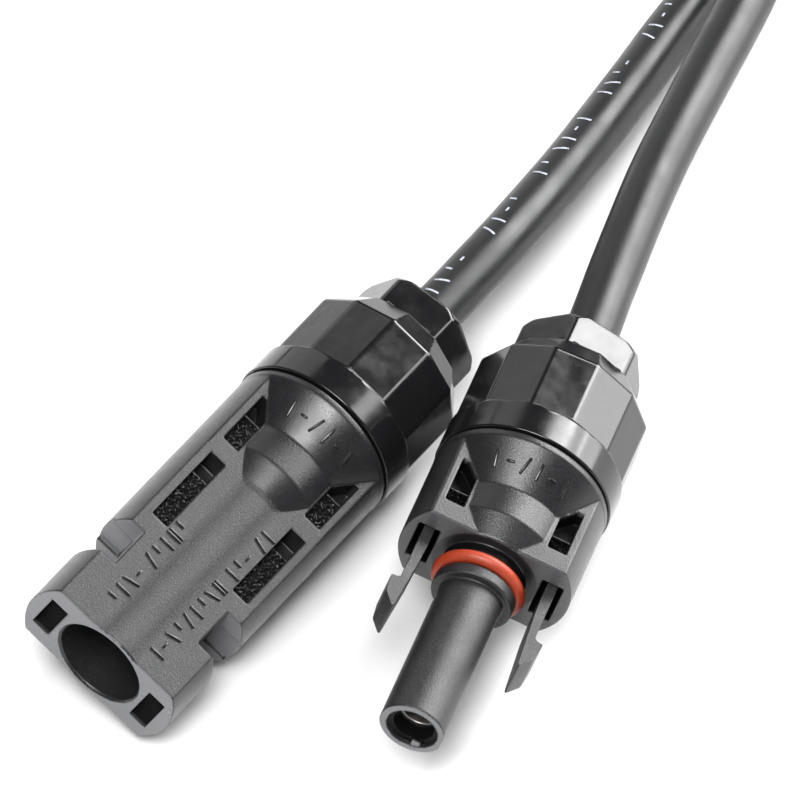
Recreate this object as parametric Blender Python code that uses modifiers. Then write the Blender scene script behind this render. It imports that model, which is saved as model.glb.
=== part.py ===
"""Solar cable lead with a pin connector and a socket connector.

Both connectors lie side by side, and one length of cable runs from one to the other through a coil.
Sizes are in millimetres and MM turns them into metres. Along a connector, a place is its distance
from the mating end: s. Each connector has a frame of its own, an empty whose +Z points out of the
mating end, whose +X runs across the width and whose +Y points up off the flat band.
"""
import math

import bmesh
import bpy
from mathutils import Matrix, Vector

MM = 0.001
GAP = 0.3                      # clearance between pieces that touch on the real object
ROUND_STEPS = 48               # facets round a turned piece
SMALL_STEPS = 24               # facets round a small inner piece
MOULDED = "MANIFOLD"           # Boolean solver for the moulded bodies, which EXACT leaves with open edges

# Where the connectors lie: the mating end's centre, the turn about +Z and the roll about the axis.
# The origin is on the surface, under the middle of the two connectors.
PIN_FRONT = (-13.3, -30.9, 9.45)
PIN_YAW, PIN_ROLL = 0.0, 26.5
SOCKET_TIP = (18.0, -20.3, 11.45)
SOCKET_YAW, SOCKET_ROLL = 16.7, 16.1

# Pin housing.
PIN_NUT = 36.2                 # front face of the pin connector's end nut
PIN_HEAD_RADIUS = 9.35
PIN_BODY_RADIUS = 9.2
PIN_HEAD_END = 6.7
PIN_FLAT = 5.15                # half thickness across the flat bands
PIN_BORE = 4.875
PIN_BORE_END = 19.5
PIN_CREST = 5.6                # tube that stands a little proud of the bands
SLOT_CENTRE, SLOT_WIDTH, SLOT_HEIGHT = 6.75, 2.1, 5.8
WINDOW_INNER, WINDOW_END = 5.8, 11.7

# Socket housing.
SOCKET_NUT = 33.0
SHOULDER = 21.6                # face that meets the pin housing when the pair is mated
SOCKET_BODY_RADIUS = 9.25
SOCKET_FLAT = 5.4
NOSE_RADIUS = 3.5
NOSE_BORE = 2.95
COLLAR_RADIUS = 4.35
RING_CENTRE, RING_RADIUS, RING_THICKNESS = 19.75, 4.33, 0.62

# Latch arms.
ARM_CENTRE, ARM_THICKNESS, ARM_HEIGHT = 6.85, 1.1, 5.4
ARM_PIVOT = 25.4
ARM_CATCH, ARM_TIP = 14.4, 11.0
BARB_OUT = 8.4
ARM_POCKET_END = 26.6

# Cable gland, as distances behind the nut's front face.
COLLAR_SHOULDER = -GAP         # housing's rear face, just ahead of the nut
BOSS_RADIUS, BOSS_END = 7.0, 8.3
CHAMBER_RADIUS = 5.6
FLANGE_RADIUS, FLANGE_END = 9.45, 3.5
GRIP_RADIUS, GRIP_END = 9.3, 11.2
NECK_RADIUS, NECK_START = 7.2, 15.0
HEX_RADIUS, NUT_LENGTH = 7.0, 18.5
CABLE_HOLE = 3.15

# Cable.
CABLE_RADIUS = 2.8
SHEATH_BORE = 2.35
INSULATION_RADIUS, INSULATION_BORE = 2.05, 1.55
CONDUCTOR_RADIUS = 1.25

# Free runs, from each nut to where the cable meets the coil.
PIN_RUN = [
    (-13.3, 24.1, 9.45), (-13.5, 37.5, 9.1), (-14.8, 51.0, 7.4), (-16.9, 64.5, 5.4), (-18.8, 77.5, 4.1),
    (-19.3, 89.1, 3.75), (-17.5, 100.0, 3.7), (-12.9, 110.3, 3.7), (-5.3, 124.5, 3.7),
]
SOCKET_RUN = [
    (3.11, 29.31, 11.45), (-1.1, 41.0, 11.4), (-5.3, 53.5, 11.1), (-8.7, 66.0, 10.6), (-11.8, 78.0, 10.1),
    (-15.7, 90.1, 9.95), (-21.0, 100.9, 9.8), (-27.9, 110.4, 9.5), (-36.2, 119.7, 9.4),
]
RUN_POINT_SPACING = 11.5

# Coil: two flat layers of turns, one on the other, held by a tie that it rests on.
COIL_CENTRE = (-26.7, 159.1)
COIL_MIDDLE = 29.4
STRAND_PITCH = 5.7
TIE_ANGLE = 100.0
TIE_WIDTH, TIE_THICKNESS = 4.6, 0.6


def clear_scene():
    """Remove whatever the file starts with."""
    for obj in list(bpy.data.objects):
        bpy.data.objects.remove(obj, do_unlink=True)


def new_collection(name):
    collection = bpy.data.collections.new(name)
    bpy.context.scene.collection.children.link(collection)
    return collection


clear_scene()
PARTS = new_collection("solar_cable_connector")
CUTTERS = new_collection("cutters")


def new_material(name, color, roughness, metallic=0.0):
    material = bpy.data.materials.new(name)
    material.use_nodes = True
    shader = material.node_tree.nodes["Principled BSDF"]
    shader.inputs["Base Color"].default_value = (*color, 1.0)
    shader.inputs["Roughness"].default_value = roughness
    shader.inputs["Metallic"].default_value = metallic
    material.diffuse_color = (*color, 1.0)
    return material


def connector_frame(name, tip, yaw, roll):
    """Empty at a connector's mating end, which carries its pieces."""
    empty = bpy.data.objects.new(name, None)
    PARTS.objects.link(empty)
    turn = Matrix.Rotation(math.radians(yaw), 4, "Z")
    turn = turn @ Matrix.Rotation(math.radians(roll), 4, "Y")
    turn = turn @ Matrix.Rotation(math.radians(90.0), 4, "X")
    empty.matrix_world = Matrix.Translation(Vector(tip) * MM) @ turn
    return empty


def place(obj, frame, material, offset=(0.0, 0.0, 0.0)):
    """Link an object as a finished piece where a material is given, else as a cutter."""
    if material is None:
        CUTTERS.objects.link(obj)
        obj.hide_render = True
        obj.display_type = "WIRE"
    else:
        PARTS.objects.link(obj)
        obj.data.materials.append(material)
    obj.parent = frame
    obj.location = Vector(offset) * MM
    return obj


def turned(name, profile, frame, material=None, steps=ROUND_STEPS, closed=False, origin=0.0):
    """Turn a profile of (radius, s) points about the frame's axis; the object's origin is at s."""
    mesh = bpy.data.meshes.new(name)
    points = [(radius * MM, 0.0, (origin - s) * MM) for radius, s in profile]
    edges = [(i, i + 1) for i in range(len(points) - 1)]
    if closed:
        edges.append((len(points) - 1, 0))
    mesh.from_pydata(points, edges, [])
    obj = place(bpy.data.objects.new(name, mesh), frame, material, (0.0, 0.0, -origin))
    screw = obj.modifiers.new("Turn", "SCREW")
    screw.axis = "Z"
    screw.steps = steps
    screw.render_steps = steps
    screw.use_merge_vertices = True
    screw.merge_threshold = 0.000001
    screw.use_smooth_shade = True
    return obj


def box(name, low, high, frame, material=None):
    """Box between two corners given as (x, y, s)."""
    bm = bmesh.new()
    bmesh.ops.create_cube(bm, size=1.0)
    size = [abs(b - a) * MM for a, b in zip(low, high)]
    centre = [(a + b) / 2.0 * MM for a, b in zip(low, high)]
    centre[2] = -centre[2]
    bmesh.ops.scale(bm, vec=size, verts=bm.verts)
    bmesh.ops.translate(bm, vec=centre, verts=bm.verts)
    mesh = bpy.data.meshes.new(name)
    bm.to_mesh(mesh)
    bm.free()
    return place(bpy.data.objects.new(name, mesh), frame, material)


def prism(name, sides, radius, start, end, turn, frame, material=None):
    """Regular prism along the axis; turn is the angle in degrees of one corner from +Y towards +X."""
    bm = bmesh.new()
    depth = (end - start) * MM
    bmesh.ops.create_cone(
        bm, cap_ends=True, segments=sides, radius1=radius * MM, radius2=radius * MM, depth=depth
    )
    corner = max((vert.co.copy() for vert in bm.verts), key=lambda co: co.y)
    corner_angle = math.atan2(corner.x, corner.y)
    spin = Matrix.Rotation(corner_angle - math.radians(turn), 3, "Z")
    bmesh.ops.rotate(bm, cent=(0.0, 0.0, 0.0), matrix=spin, verts=bm.verts)
    bmesh.ops.translate(bm, vec=(0.0, 0.0, -(start + end) / 2.0 * MM), verts=bm.verts)
    mesh = bpy.data.meshes.new(name)
    bm.to_mesh(mesh)
    bm.free()
    return place(bpy.data.objects.new(name, mesh), frame, material)


def plate(name, outline, low, high, frame, material=None):
    """Outline of (x, s) points, raised between two heights along Y."""
    bm = bmesh.new()
    verts = [bm.verts.new((x * MM, low * MM, -s * MM)) for x, s in outline]
    face = bm.faces.new(verts)
    grown = bmesh.ops.extrude_face_region(bm, geom=[face])
    moved = [item for item in grown["geom"] if isinstance(item, bmesh.types.BMVert)]
    bmesh.ops.translate(bm, vec=(0.0, (high - low) * MM, 0.0), verts=moved)
    bmesh.ops.recalc_face_normals(bm, faces=bm.faces)
    mesh = bpy.data.meshes.new(name)
    bm.to_mesh(mesh)
    bm.free()
    return place(bpy.data.objects.new(name, mesh), frame, material)


def combine(obj, operation, other, solver="EXACT"):
    modifier = obj.modifiers.new(other.name, "BOOLEAN")
    modifier.operation = operation
    modifier.object = other
    modifier.solver = solver


def flat_bar(name, profile, half_thickness, frame):
    """Turned bar with two flats: the flattened round section of a connector's body."""
    bar = turned(name, profile, frame)
    ends = [s for _, s in profile]
    slab = box(
        name + "_slab", (-15.0, -half_thickness, min(ends) - 1.0),
        (15.0, half_thickness, max(ends) + 1.0), frame,
    )
    combine(bar, "INTERSECT", slab)
    return bar


def cut_pockets(housing, name, outline, low, high, frame):
    """Cut an outline into both bands on both sides of the middle."""
    for side in (-1, 1):
        mirrored = [(side * x, s) for x, s in outline]
        for face in (-1, 1):
            label = f"{name}_{'lr'[side > 0]}_{'du'[face > 0]}"
            cutter = plate(label, mirrored, face * low, face * high, frame)
            combine(housing, "DIFFERENCE", cutter, MOULDED)


def gland_bore(start, chamber, nut):
    """Profile of the hollow from the contact chamber back through the threaded boss."""
    return [
        (3.7, start), (3.7, chamber), (CHAMBER_RADIUS, nut - 2.0),
        (CHAMBER_RADIUS, nut + BOSS_END + 1.0), (0.0, nut + BOSS_END + 1.0),
    ]


def boss_profile(nut):
    """Outer profile of the boss that the end nut screws on to."""
    return [
        (BOSS_RADIUS, nut + COLLAR_SHOULDER), (BOSS_RADIUS, nut + BOSS_END - 0.4),
        (BOSS_RADIUS - 0.4, nut + BOSS_END), (0.0, nut + BOSS_END),
    ]


def make_pin_housing(frame, plastic):
    """Housing with the wide bore, the latch slots, the release windows and the band pockets."""
    profile = [
        (0.0, 0.1), (PIN_CREST, 0.1), (PIN_CREST, 24.0), (6.8, 27.1), (6.8, 30.7),
        (PIN_BODY_RADIUS + 0.05, 35.2), (PIN_BODY_RADIUS + 0.05, PIN_NUT + COLLAR_SHOULDER),
    ]
    housing = turned("pin_housing", profile + boss_profile(PIN_NUT), frame, plastic)
    bar_profile = [
        (0.0, 0.0), (PIN_HEAD_RADIUS, 0.0), (PIN_HEAD_RADIUS, PIN_HEAD_END + 0.1),
        (PIN_BODY_RADIUS, PIN_HEAD_END + 0.4), (PIN_BODY_RADIUS, 35.5), (0.0, 35.5),
    ]
    combine(housing, "UNION", flat_bar("pin_bar", bar_profile, PIN_FLAT, frame), MOULDED)
    bore = [
        (0.0, -1.0), (PIN_BORE + 0.2, -1.0), (PIN_BORE + 0.2, 0.05), (PIN_BORE, 0.3),
        (PIN_BORE, PIN_BORE_END), (2.75, PIN_BORE_END), (2.75, 21.5),
    ]
    bore += gland_bore(21.5, 30.5, PIN_NUT)
    combine(housing, "DIFFERENCE", turned("pin_bore", bore, frame), MOULDED)
    for side in (-1, 1):
        hand = "lr"[side > 0]
        inner = side * (SLOT_CENTRE - SLOT_WIDTH / 2.0)
        outer = side * (SLOT_CENTRE + SLOT_WIDTH / 2.0)
        half = SLOT_HEIGHT / 2.0
        slot = box(f"latch_slot_{hand}", (inner, -half, -1.0), (outer, half, PIN_HEAD_END + 1.0), frame)
        combine(housing, "DIFFERENCE", slot, MOULDED)
        window = box(
            f"release_window_{hand}", (side * WINDOW_INNER, -8.0, PIN_HEAD_END),
            (side * 12.0, 8.0, WINDOW_END), frame,
        )
        combine(housing, "DIFFERENCE", window, MOULDED)
    long_pocket = [(4.6, 14.0), (6.6, 14.0), (6.6, 23.9), (4.6, 23.9)]
    cut_pockets(housing, "long_pocket", long_pocket, 2.9, 8.0, frame)
    rear_pocket = [(4.7, 26.1), (6.7, 26.1), (6.7, 32.8), (6.2, 32.8), (4.7, 30.7)]
    cut_pockets(housing, "rear_pocket", rear_pocket, 2.9, 8.0, frame)
    return housing


def make_socket_housing(frame, plastic):
    """Housing with the long nose, the seal groove, the shoulder and the latch pockets."""
    groove = (RING_CENTRE - 0.8, RING_CENTRE + 0.8)
    profile = [
        (0.0, 0.0), (NOSE_RADIUS - 0.3, 0.0), (NOSE_RADIUS, 0.3), (NOSE_RADIUS, 17.6),
        (COLLAR_RADIUS - 0.25, 17.6), (COLLAR_RADIUS, 17.85), (COLLAR_RADIUS, groove[0]),
        (NOSE_RADIUS, groove[0]), (NOSE_RADIUS, groove[1]), (COLLAR_RADIUS, groove[1]),
        (COLLAR_RADIUS, SHOULDER + 0.1), (5.7, SHOULDER + 0.1), (6.8, 24.3), (6.9, 27.6),
        (SOCKET_BODY_RADIUS + 0.05, 32.0), (SOCKET_BODY_RADIUS + 0.05, SOCKET_NUT + COLLAR_SHOULDER),
    ]
    housing = turned("socket_housing", profile + boss_profile(SOCKET_NUT), frame, plastic)
    bar_profile = [
        (0.0, SHOULDER), (SOCKET_BODY_RADIUS, SHOULDER), (SOCKET_BODY_RADIUS, 32.3), (0.0, 32.3),
    ]
    combine(housing, "UNION", flat_bar("socket_bar", bar_profile, SOCKET_FLAT, frame), MOULDED)
    bore = [(0.0, -1.0), (2.65, -1.0), (2.65, 0.7), (NOSE_BORE, 0.7), (NOSE_BORE, 22.8)]
    bore += gland_bore(22.8, 29.2, SOCKET_NUT)
    combine(housing, "DIFFERENCE", turned("socket_bore", bore, frame), MOULDED)
    for side in (-1, 1):
        pocket = box(
            f"arm_pocket_{'lr'[side > 0]}", (side * 5.7, -2.95, SHOULDER - 1.0),
            (side * 8.0, 2.95, ARM_POCKET_END), frame,
        )
        combine(housing, "DIFFERENCE", pocket, MOULDED)
    band_pocket = [(4.65, 23.9), (6.7, 23.9), (6.7, 29.3), (6.1, 29.3), (4.65, 27.7)]
    cut_pockets(housing, "band_pocket", band_pocket, 3.4, 8.0, frame)
    return housing


def arm_outline(side):
    """Latch arm in (x, s) about its pivot: round root, straight blade, square catch, sloped barb."""
    inner = ARM_CENTRE - ARM_THICKNESS / 2.0
    outer = ARM_CENTRE + ARM_THICKNESS / 2.0
    root = ARM_THICKNESS / 2.0
    points = []
    for step in range(7):
        angle = math.pi * step / 6.0
        points.append((ARM_CENTRE + root * math.cos(angle), ARM_PIVOT + root * math.sin(angle)))
    points += [
        (inner, ARM_TIP + 1.6), (ARM_CENTRE - 0.3, ARM_TIP), (ARM_CENTRE + 0.05, ARM_TIP),
        (BARB_OUT - 0.3, ARM_CATCH - 1.6), (BARB_OUT, ARM_CATCH - 0.5), (BARB_OUT, ARM_CATCH),
        (outer + 0.25, ARM_CATCH), (outer, ARM_CATCH + 0.3),
    ]
    return [(side * (x - ARM_CENTRE), s - ARM_PIVOT) for x, s in points]


def make_latch_arm(name, side, frame, plastic):
    """Springy locking arm as a flat outline, with its origin where it bends."""
    curve = bpy.data.curves.new(name, "CURVE")
    curve.dimensions = "2D"
    curve.fill_mode = "BOTH"
    curve.extrude = ARM_HEIGHT / 2.0 * MM
    outline = arm_outline(side)
    spline = curve.splines.new("POLY")
    spline.points.add(len(outline) - 1)
    for point, (x, s) in zip(spline.points, outline):
        point.co = (x * MM, -s * MM, 0.0, 1.0)
    spline.use_cyclic_u = True
    arm = place(bpy.data.objects.new(name, curve), frame, plastic, (side * ARM_CENTRE, 0.0, -ARM_PIVOT))
    arm.rotation_euler = (math.radians(90.0), 0.0, 0.0)
    return arm


def make_nut(name, nut, corner, frame, plastic):
    """End nut: smooth flange, twelve-sided grip, sloped neck, hexagon and cable hole."""
    end = nut + NUT_LENGTH
    flange = [(0.0, nut), (FLANGE_RADIUS, nut), (FLANGE_RADIUS, nut + FLANGE_END), (0.0, nut + FLANGE_END)]
    body = turned(name, flange, frame, plastic, origin=nut)
    grip = prism(name + "_grip", 12, GRIP_RADIUS, nut + 3.0, nut + NECK_START + 0.3, corner, frame)
    slope = [
        (0.0, nut + 2.0), (12.0, nut + 2.0), (12.0, nut + GRIP_END - 2.6),
        (NECK_RADIUS, nut + NECK_START), (NECK_RADIUS, nut + NECK_START + 1.0), (0.0, nut + NECK_START + 1.0),
    ]
    combine(grip, "INTERSECT", turned(name + "_slope", slope, frame), MOULDED)
    combine(body, "UNION", grip, MOULDED)
    hexagon = prism(name + "_hexagon", 6, HEX_RADIUS, nut + NECK_START - 0.6, end, corner, frame)
    crown = [
        (0.0, nut + 8.0), (12.0, nut + 8.0), (12.0, nut + NECK_START + 0.4),
        (HEX_RADIUS - 0.5, end + 0.1), (0.0, end + 0.1),
    ]
    combine(hexagon, "INTERSECT", turned(name + "_crown", crown, frame), MOULDED)
    combine(body, "UNION", hexagon, MOULDED)
    hollow = [
        (0.0, nut - 1.0), (BOSS_RADIUS + 0.4, nut - 1.0), (BOSS_RADIUS + 0.4, nut + BOSS_END + 0.6),
        (CHAMBER_RADIUS, nut + BOSS_END + 0.9), (CABLE_HOLE + 0.3, nut + 14.4),
        (CABLE_HOLE, nut + 14.6), (CABLE_HOLE, end + 1.0), (0.0, end + 1.0),
    ]
    combine(body, "DIFFERENCE", turned(name + "_hollow", hollow, frame), MOULDED)
    return body


def make_clamp_cage(name, nut, frame, plastic):
    """Slotted clamp ring that the nut closes on the cable."""
    inner = CABLE_RADIUS + GAP
    profile = [
        (5.2, nut + 7.0), (5.2, nut + 9.0), (3.75, nut + 13.4),
        (inner, nut + 13.4), (inner, nut + 7.0),
    ]
    cage = turned(name, profile, frame, plastic, closed=True, origin=nut)
    for index in range(3):
        slit = box(f"{name}_slit_{index}", (-6.0, -0.4, nut + 8.6), (6.0, 0.4, nut + 14.5), frame)
        slit.rotation_euler = (0.0, 0.0, math.radians(60.0 * index))
        combine(cage, "DIFFERENCE", slit)
    return cage


def make_seal(name, nut, frame, rubber):
    """Ribbed rubber sleeve round the cable, in the boss."""
    inner = CABLE_RADIUS + GAP
    front, back, ribs = nut - 1.4, nut + 6.7, 3
    outer = []
    pitch = (back - front) / ribs
    for index in range(ribs):
        start = front + index * pitch
        outer += [(4.9, start), (5.3, start + 0.4 * pitch), (5.3, start + 0.6 * pitch)]
    outer.append((4.9, back))
    return turned(name, outer + [(inner, back), (inner, front)], frame, rubber, closed=True)


def make_cable_end(prefix, barrel, nut, frame, materials):
    """Stripped cable end inside a connector: strands, insulation and outer sheath."""
    end = nut + NUT_LENGTH
    strands = [(0.0, barrel), (CONDUCTOR_RADIUS, barrel), (CONDUCTOR_RADIUS, end), (0.0, end)]
    turned(prefix + "_conductor", strands, frame, materials["copper"], steps=SMALL_STEPS)
    insulation_start = barrel + 5.6
    insulation = [
        (INSULATION_RADIUS, insulation_start), (INSULATION_RADIUS, end),
        (INSULATION_BORE, end), (INSULATION_BORE, insulation_start),
    ]
    turned(prefix + "_insulation", insulation, frame, materials["insulation"], steps=SMALL_STEPS, closed=True)
    sheath_start = nut - 2.6
    sheath = [
        (CABLE_RADIUS, sheath_start), (CABLE_RADIUS, end), (SHEATH_BORE, end), (SHEATH_BORE, sheath_start),
    ]
    turned(prefix + "_sheath_end", sheath, frame, materials["cable"], steps=SMALL_STEPS, closed=True)


def make_contact_clip(name, start, frame, metal):
    """Spring ring with a flared rear that keeps the contact in its chamber."""
    profile = [
        (3.0, start), (3.45, start + 2.6), (3.2, start + 2.6),
        (2.6, start + 0.5), (2.6, start),
    ]
    clip = turned(name, profile, frame, metal, steps=SMALL_STEPS, closed=True)
    slit = box(name + "_slit", (0.0, -0.35, start - 1.0), (5.0, 0.35, start + 4.0), frame)
    combine(clip, "DIFFERENCE", slit)
    return clip


def crimp_barrel(start, end):
    """Tail of a contact's profile: the barrel crimped on the strands, open at its rear end."""
    return [
        (2.3, start), (2.3, end), (INSULATION_BORE, end), (INSULATION_BORE, start + 0.6), (0.0, start + 0.6),
    ]


def make_pin_contact(frame, metal):
    tip = 8.0
    profile = [
        (0.0, tip), (1.0, tip), (1.6, tip + 0.4), (2.0, tip + 1.4), (2.0, 18.8), (2.45, 19.2), (2.45, 21.8),
        (3.25, 21.8), (3.25, 22.8),
    ]
    return turned("pin_contact", profile + crimp_barrel(22.8, 29.0), frame, metal, steps=SMALL_STEPS)


def make_socket_contact(frame, metal):
    """Sleeve contact: mouth, groove for the louvre band, blind bottom, flange and crimp barrel."""
    profile = [
        (2.1, 1.0), (2.75, 1.0), (2.75, 23.1), (3.3, 23.1), (3.3, 24.1), (2.3, 24.1), (2.3, 29.6),
        (INSULATION_BORE, 29.6), (INSULATION_BORE, 24.6), (0.0, 24.6),
    ]
    contact = turned("socket_contact", [(0.0, 1.0)] + profile, frame, metal, steps=SMALL_STEPS)
    bore = [
        (0.0, 0.0), (2.1, 0.0), (2.1, 5.0), (2.5, 5.0), (2.5, 12.0), (2.1, 12.0), (2.1, 16.0), (0.0, 16.0),
    ]
    combine(contact, "DIFFERENCE", turned("contact_bore", bore, frame, steps=SMALL_STEPS))
    return contact


def make_contact_spring(frame, metal):
    """Louvre band: a thin waisted ring in the sleeve's groove, split down one side."""
    profile = [
        (2.4, 5.3), (2.3, 8.5), (2.4, 11.7), (2.25, 11.7), (2.12, 8.5), (2.25, 5.3),
    ]
    band = turned("contact_spring", profile, frame, metal, steps=SMALL_STEPS, closed=True)
    combine(band, "DIFFERENCE", box("spring_slit", (0.0, -0.3, 4.0), (4.0, 0.3, 13.0), frame))
    return band


def make_o_ring(frame, rubber):
    """Seal ring in the groove behind the collar."""
    sides = 12
    profile = []
    for index in range(sides):
        angle = math.pi / 2.0 - 2.0 * math.pi * (index + 0.5) / sides
        radius = RING_RADIUS + RING_THICKNESS * math.cos(angle)
        profile.append((radius, RING_CENTRE - RING_THICKNESS * math.sin(angle)))
    return turned("o_ring", profile, frame, rubber, closed=True)


def smooth_route(points, spacing):
    """Points about spacing apart on a smooth curve through the given points."""
    points = [Vector(point) for point in points]
    ends = [2 * points[0] - points[1]] + points + [2 * points[-1] - points[-2]]
    fine = []
    for index in range(1, len(ends) - 2):
        before, here, after, beyond = ends[index - 1:index + 3]
        for step in range(40):
            t = step / 40.0
            fine.append(0.5 * (
                2 * here + (after - before) * t + (2 * before - 5 * here + 4 * after - beyond) * t ** 2
                + (3 * here - before - 3 * after + beyond) * t ** 3
            ))
    fine.append(points[-1])
    travelled = [0.0]
    for first, second in zip(fine, fine[1:]):
        travelled.append(travelled[-1] + (second - first).length)
    count = max(2, round(travelled[-1] / spacing))
    route, index = [], 0
    for step in range(count + 1):
        target = travelled[-1] * step / count
        while index < len(fine) - 2 and travelled[index + 1] < target:
            index += 1
        share = (target - travelled[index]) / (travelled[index + 1] - travelled[index])
        route.append(fine[index].lerp(fine[index + 1], share))
    return route


def make_cable_run(name, points, material):
    """Loose stretch of cable, from a nut to the coil."""
    curve = bpy.data.curves.new(name, "CURVE")
    curve.dimensions = "3D"
    curve.bevel_depth = CABLE_RADIUS * MM
    curve.bevel_resolution = 4
    curve.use_fill_caps = True
    route = smooth_route(points, RUN_POINT_SPACING)
    spline = curve.splines.new("POLY")
    spline.points.add(len(route) - 1)
    for point, place_mm in zip(spline.points, route):
        point.co = (*(place_mm * MM), 1.0)
    obj = bpy.data.objects.new(name, curve)
    PARTS.objects.link(obj)
    curve.materials.append(material)
    return obj


def make_coil(material):
    """Outer shape of the coiled cable: a turned ring with rounded edges."""
    half = STRAND_PITCH + CABLE_RADIUS
    inner, outer = COIL_MIDDLE - half, COIL_MIDDLE + half
    low = TIE_THICKNESS + GAP
    high = low + 2.0 * CABLE_RADIUS + STRAND_PITCH
    edge = 2.0
    corners = [(outer, high, 1, 1), (outer, low, 1, -1), (inner, low, -1, -1), (inner, high, -1, 1)]
    profile = []
    for radius, height, side, face in corners:
        for step in range(4):
            angle = math.pi / 2.0 * step / 3.0
            if side * face < 0:
                angle = math.pi / 2.0 - angle
            profile.append((
                radius - side * edge * (1.0 - math.sin(angle)),
                -(height - face * edge * (1.0 - math.cos(angle))),
            ))
    ring = turned("cable_coil", profile, None, material, closed=True)
    ring.location = (COIL_CENTRE[0] * MM, COIL_CENTRE[1] * MM, 0.0)
    return ring


def rounded_block(name, width, height, depth, radius, frame, material=None):
    """Block with its long edges rounded, width along X, height along Y and depth along Z."""
    bm = bmesh.new()
    bmesh.ops.create_cube(bm, size=1.0)
    bmesh.ops.scale(bm, vec=(width * MM, height * MM, depth * MM), verts=bm.verts)
    long_edges = [
        edge for edge in bm.edges
        if abs(edge.verts[0].co.z - edge.verts[1].co.z) > depth * MM / 2.0
    ]
    bmesh.ops.bevel(bm, geom=long_edges, offset=radius * MM, segments=3, affect="EDGES", profile=0.5)
    mesh = bpy.data.meshes.new(name)
    bm.to_mesh(mesh)
    bm.free()
    return place(bpy.data.objects.new(name, mesh), frame, material)


def make_tie(material):
    """Strap round the coil, with its buckle on top; the coil rests on it."""
    clearance = GAP
    width = 2.0 * (STRAND_PITCH + CABLE_RADIUS + clearance)
    height = 2.0 * CABLE_RADIUS + STRAND_PITCH + 2.0 * clearance
    frame = bpy.data.objects.new("tie_frame", None)
    PARTS.objects.link(frame)
    angle = math.radians(TIE_ANGLE)
    middle_height = TIE_THICKNESS + height / 2.0
    frame.matrix_world = Matrix.Translation(Vector((
        COIL_CENTRE[0] + COIL_MIDDLE * math.cos(angle),
        COIL_CENTRE[1] + COIL_MIDDLE * math.sin(angle), middle_height,
    )) * MM) @ Matrix.Rotation(angle, 4, "Z") @ Matrix.Rotation(math.radians(90.0), 4, "X")
    tie = rounded_block(
        "coil_tie", width + 2.0 * TIE_THICKNESS, height + 2.0 * TIE_THICKNESS, TIE_WIDTH, 2.2, frame, material
    )
    buckle = rounded_block("tie_buckle", 6.0, 3.0, TIE_WIDTH + 1.6, 0.5, frame)
    buckle.location = (2.0 * MM, (height / 2.0 + TIE_THICKNESS + 0.6) * MM, 0.0)
    combine(tie, "UNION", buckle)
    hole = rounded_block("tie_hole", width, height, TIE_WIDTH + 4.0, 1.7, frame)
    combine(tie, "DIFFERENCE", hole)
    return tie


def main():
    housing_black = new_material("housing_black", (0.035, 0.036, 0.038), 0.55)
    nut_black = new_material("nut_black", (0.02, 0.021, 0.022), 0.22)
    arm_black = new_material("arm_black", (0.04, 0.041, 0.043), 0.5)
    clamp_grey = new_material("clamp_grey", (0.12, 0.12, 0.12), 0.5)
    seal_red = new_material("seal_red", (0.68, 0.09, 0.03), 0.45)
    seal_black = new_material("seal_black", (0.03, 0.03, 0.03), 0.7)
    tin = new_material("tinned_copper", (0.78, 0.78, 0.76), 0.25, 1.0)
    steel = new_material("spring_steel", (0.6, 0.6, 0.6), 0.3, 1.0)
    louvre = new_material("louvre_band", (0.8, 0.62, 0.36), 0.3, 1.0)
    tie_black = new_material("tie_black", (0.02, 0.02, 0.02), 0.45)
    cable_materials = {
        "cable": new_material("cable_sheath", (0.045, 0.046, 0.048), 0.5),
        "insulation": new_material("cable_insulation", (0.75, 0.74, 0.7), 0.5),
        "copper": new_material("tinned_strands", (0.75, 0.72, 0.68), 0.35, 1.0),
    }

    pin = connector_frame("pin_frame", PIN_FRONT, PIN_YAW, PIN_ROLL)
    make_pin_housing(pin, housing_black)
    make_pin_contact(pin, tin)
    make_contact_clip("pin_contact_clip", 23.4, pin, steel)
    make_cable_end("pin", 23.7, PIN_NUT, pin, cable_materials)
    make_seal("pin_seal", PIN_NUT, pin, seal_black)
    make_clamp_cage("pin_clamp_cage", PIN_NUT, pin, clamp_grey)
    make_nut("pin_end_nut", PIN_NUT, 15.0, pin, nut_black)

    socket = connector_frame("socket_frame", SOCKET_TIP, SOCKET_YAW, SOCKET_ROLL)
    make_socket_housing(socket, housing_black)
    make_latch_arm("latch_arm_left", -1, socket, arm_black)
    make_latch_arm("latch_arm_right", 1, socket, arm_black)
    make_o_ring(socket, seal_red)
    make_socket_contact(socket, tin)
    make_contact_spring(socket, louvre)
    make_contact_clip("socket_contact_clip", 24.7, socket, steel)
    make_cable_end("socket", 24.9, SOCKET_NUT, socket, cable_materials)
    make_seal("socket_seal", SOCKET_NUT, socket, seal_black)
    make_clamp_cage("socket_clamp_cage", SOCKET_NUT, socket, clamp_grey)
    make_nut("socket_end_nut", SOCKET_NUT, -19.0, socket, nut_black)

    make_cable_run("cable_pin_run", PIN_RUN, cable_materials["cable"])
    make_cable_run("cable_socket_run", SOCKET_RUN, cable_materials["cable"])
    make_coil(cable_materials["cable"])
    make_tie(tie_black)


main()
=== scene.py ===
"""Looks of the solar cable connector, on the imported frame.

Sizes are in millimetres and MM turns them into metres. Along a connector, a place is its distance
from the mating end: s. Each connector has a frame of its own, whose +Z points out of the mating
end, whose +X runs across the width and whose +Y points up off the flat band.
"""
import math

import bmesh
import bpy
import numpy as np
from mathutils import Matrix, Vector


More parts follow.
